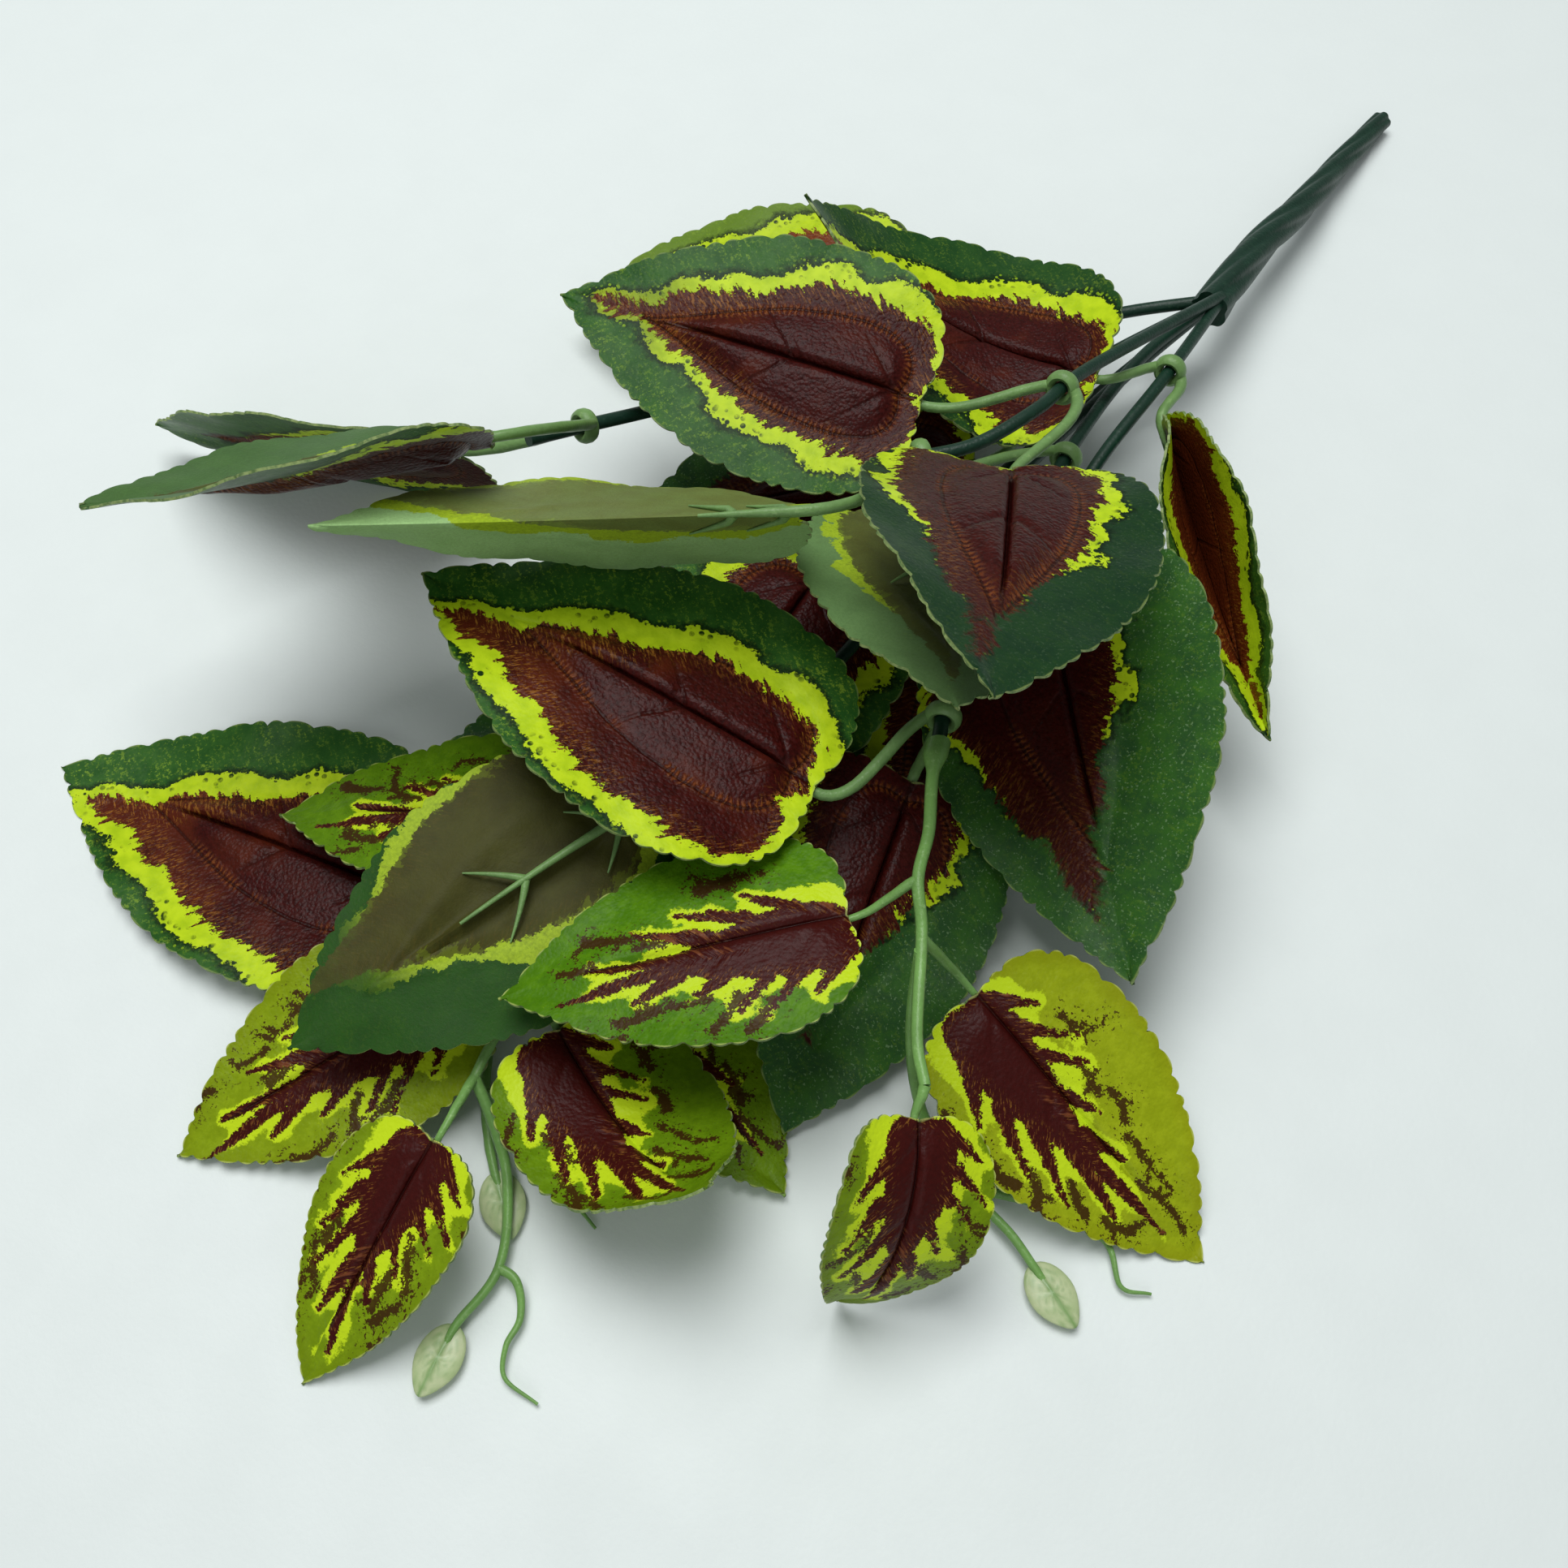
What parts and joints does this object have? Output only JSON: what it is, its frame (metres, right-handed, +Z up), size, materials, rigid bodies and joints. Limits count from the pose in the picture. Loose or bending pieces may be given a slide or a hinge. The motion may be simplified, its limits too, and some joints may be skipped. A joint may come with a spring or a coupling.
{
  "type": "artificial coleus bush",
  "caption": "Artificial coleus bush lying on its side: printed leaves on wired stems that are twisted into one handle.",
  "frame": {"origin": "the bush lies as picked: centre of its outline seen from above, on the surface that it lies on", "axes": "+Y from the foliage to the end of the handle, +Z up from the surface, +X to the right seen from above with the handle pointing away"},
  "size_m": [0.283, 0.3975, 0.0851],
  "materials": {
    "stem": "dark green plastic coating over wire, slightly waxy",
    "petiole": "moulded olive green plastic, soft sheen",
    "spray": "moulded light green plastic, slightly translucent",
    "large_leaf": "soft sheet with embossed veins, printed maroon in the middle, chartreuse round it and dark green to the cut edge; plain sage underside",
    "small_leaf": "soft sheet with embossed veins, printed yellow-green with a jagged maroon middle and dark branching veins; plain light green underside"
  },
  "bodies": {
    "root": {"stems": "stem", "petioles_1_middle": "petiole", "petioles_1_end": "petiole", "petioles_2_middle": "petiole", "petioles_2_end": "petiole", "petioles_3_middle": "petiole", "petioles_3_end": "petiole", "petioles_4_middle": "petiole", "petioles_4_end": "petiole", "petioles_5_middle": "petiole", "petioles_5_end": "petiole", "petioles_6": "petiole", "petioles_7": "petiole", "spray_4": "spray", "spray_5": "spray", "spray_6": "spray", "leaf_1a": "large_leaf", "leaf_1b": "large_leaf", "leaf_1c": "large_leaf", "leaf_1d": "large_leaf", "leaf_2a": "large_leaf", "leaf_2b": "large_leaf", "leaf_2c": "large_leaf", "leaf_3a": "large_leaf", "leaf_3b": "large_leaf", "leaf_3c": "large_leaf", "leaf_3d": "large_leaf", "leaf_4a": "large_leaf", "leaf_4b": "large_leaf", "leaf_4c": "large_leaf", "leaf_5a": "large_leaf", "leaf_5b": "large_leaf", "leaf_6a": "large_leaf", "leaf_7a": "large_leaf", "leaf_4d": "small_leaf", "leaf_4e": "small_leaf", "leaf_4f": "small_leaf", "leaf_5c": "small_leaf", "leaf_5d": "small_leaf", "leaf_5e": "small_leaf", "leaf_6b": "small_leaf", "leaf_7b": "small_leaf"}
  },
  "joints": []
}
